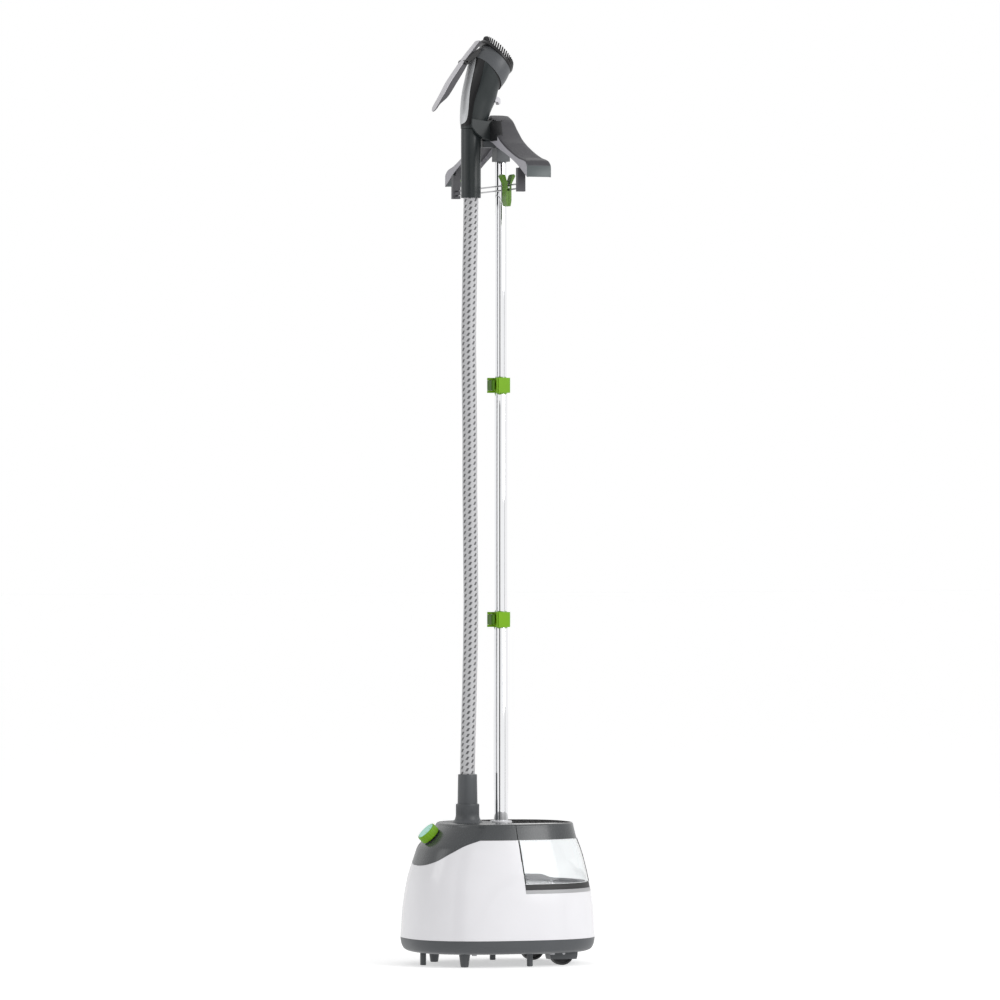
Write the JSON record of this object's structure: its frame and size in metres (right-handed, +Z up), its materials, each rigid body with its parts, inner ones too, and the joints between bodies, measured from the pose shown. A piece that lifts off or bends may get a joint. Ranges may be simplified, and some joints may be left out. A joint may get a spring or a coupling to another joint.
{
  "type": "garment steamer",
  "caption": "Upright garment steamer with a wheeled base, lift-out water tank, telescopic pole, hanger with clip rail, and a steam handset on a fabric hose.",
  "frame": {"origin": "on the floor under the middle of the base", "axes": "+Z up, -Y to the front (the foot dial and hose), +X to the right seen from the front"},
  "size_m": [0.4, 0.3192, 1.5403],
  "materials": {
    "grey_plastic": "satin",
    "deck_plastic": "glossy",
    "handle_plastic": "satin",
    "white_plastic": "glossy",
    "clear_plastic": "clear",
    "green_plastic": "glossy",
    "clip_green": "glossy",
    "mint_plastic": "satin",
    "silver_paint": "satin metallic",
    "chrome": "polished",
    "steel": "brushed",
    "aluminium": "cast",
    "black_plastic": "matte",
    "seal_rubber": "matte",
    "silicone": "matte",
    "braid": "woven"
  },
  "bodies": {
    "base": {"base_tray": "grey_plastic", "body_shell": "white_plastic", "deck_cover": "deck_plastic", "feet": "grey_plastic", "wheel_axles": "steel", "tray_screws": "steel", "tank_bay": "white_plastic", "boiler_lower": "aluminium", "boiler_upper": "aluminium", "boiler_gasket": "seal_rubber", "boiler_screws": "steel", "heating_element": "steel", "thermostat": "black_plastic", "steam_pipe": "silicone", "feed_pipe": "silicone", "valve_receiver": "white_plastic", "dial_switch": "black_plastic", "pole_socket": "white_plastic", "collar_ring": "grey_plastic", "hose_sleeve": "grey_plastic", "pole_lower": "chrome", "lower_clamp": "green_plastic", "lower_lever_pin": "steel", "hose": "braid"},
    "left_wheel": {"left_wheel": "black_plastic"},
    "right_wheel": {"right_wheel": "black_plastic"},
    "dial": {"dial_knob": "green_plastic", "dial_face": "mint_plastic"},
    "tank": {"tank_base": "deck_plastic", "tank_shell": "clear_plastic", "tank_cover": "deck_plastic", "valve_spring": "steel"},
    "tank_valve": {"valve_plunger": "white_plastic"},
    "lower_lever": {"lower_lever": "green_plastic"},
    "middle_stage": {"pole_middle": "chrome", "upper_clamp": "green_plastic", "upper_lever_pin": "steel"},
    "upper_lever": {"upper_lever": "green_plastic"},
    "top_stage": {"pole_upper": "chrome", "hanger_shell": "grey_plastic", "hanger_socket": "grey_plastic", "cradle_fork": "handle_plastic", "trouser_rail": "chrome", "hanger_posts": "grey_plastic"},
    "left_clip": {"left_clip_front": "clip_green", "left_clip_pin": "steel"},
    "left_clip_jaw": {"left_clip_rear": "clip_green"},
    "right_clip": {"right_clip_front": "clip_green", "right_clip_pin": "steel"},
    "right_clip_jaw": {"right_clip_rear": "clip_green"},
    "handset": {"handle_shell": "handle_plastic", "handle_panel": "silver_paint", "handset_sleeve": "handle_plastic", "steam_tube": "silicone", "head_shell": "grey_plastic", "steam_plate": "steel", "comb_frame": "grey_plastic", "crease_pin": "steel"},
    "crease_lever": {"crease_lever": "silver_paint"},
    "trigger": {"trigger": "silver_paint"}
  },
  "joints": [
    {"name": "left_wheel_spin", "type": "hinge", "parent": "base", "child": "left_wheel", "pos_m": [-0.07, 0.087, 0.02], "axis": [1, 0, 0], "continuous": true},
    {"name": "right_wheel_spin", "type": "hinge", "parent": "base", "child": "right_wheel", "pos_m": [0.07, 0.087, 0.02], "axis": [1, 0, 0], "continuous": true},
    {"name": "dial_turn", "type": "hinge", "parent": "base", "child": "dial", "pos_m": [0, -0.122, 0.218], "axis": [0, -0.7071, 0.7071], "range_deg": [0, 270]},
    {"name": "tank_lift", "type": "slide", "parent": "base", "child": "tank", "axis": [0, 0, 1], "range_m": [0, 0.12]},
    {"name": "valve_push", "type": "slide", "parent": "tank", "child": "tank_valve", "axis": [0, 0, 1], "range_m": [0, 0.003], "stiffness_N_per_m": 150, "springref_m": -0.003, "deforming": ["valve_spring"]},
    {"name": "lower_lever_flip", "type": "hinge", "parent": "base", "child": "lower_lever", "pos_m": [-0.008, -0.0108, 0.5715], "axis": [0, 0, -1], "range_deg": [0, 95]},
    {"name": "lower_pole_slide", "type": "slide", "parent": "base", "child": "middle_stage", "axis": [0, 0, 1], "range_m": [-0.355, 0], "deforming": ["hose"]},
    {"name": "upper_lever_flip", "type": "hinge", "parent": "middle_stage", "child": "upper_lever", "pos_m": [-0.008, -0.0108, 0.9605], "axis": [0, 0, -1], "range_deg": [0, 95]},
    {"name": "upper_pole_slide", "type": "slide", "parent": "middle_stage", "child": "top_stage", "axis": [0, 0, 1], "range_m": [-0.34, 0]},
    {"name": "left_clip_slide", "type": "slide", "parent": "top_stage", "child": "left_clip", "axis": [1, 0, 0], "range_m": [-0.045, 0.065]},
    {"name": "left_clip_open", "type": "hinge", "parent": "left_clip", "child": "left_clip_jaw", "pos_m": [-0.093, -0.0175, 1.285], "axis": [1, 0, 0], "range_deg": [0, 18], "stiffness_Nm_per_rad": 0.15, "springref_deg": -17.19},
    {"name": "right_clip_slide", "type": "slide", "parent": "top_stage", "child": "right_clip", "axis": [1, 0, 0], "range_m": [-0.065, 0.045]},
    {"name": "right_clip_open", "type": "hinge", "parent": "right_clip", "child": "right_clip_jaw", "pos_m": [0.093, -0.0175, 1.285], "axis": [1, 0, 0], "range_deg": [0, 18], "stiffness_Nm_per_rad": 0.15, "springref_deg": -17.19},
    {"name": "handset_lift", "type": "slide", "parent": "top_stage", "child": "handset", "axis": [0, 0, 1], "range_m": [0, 0.05]},
    {"name": "crease_close", "type": "hinge", "parent": "handset", "child": "crease_lever", "pos_m": [0, -0.0595, 1.496], "axis": [1, 0, 0], "range_deg": [0, 22], "stiffness_Nm_per_rad": 0.6, "springref_deg": -20.05},
    {"name": "trigger_pull", "type": "hinge", "parent": "handset", "child": "trigger", "pos_m": [0, -0.011, 1.436], "axis": [-1, 0, 0], "range_deg": [0, 12], "stiffness_Nm_per_rad": 0.15, "springref_deg": -17.19}
  ]
}
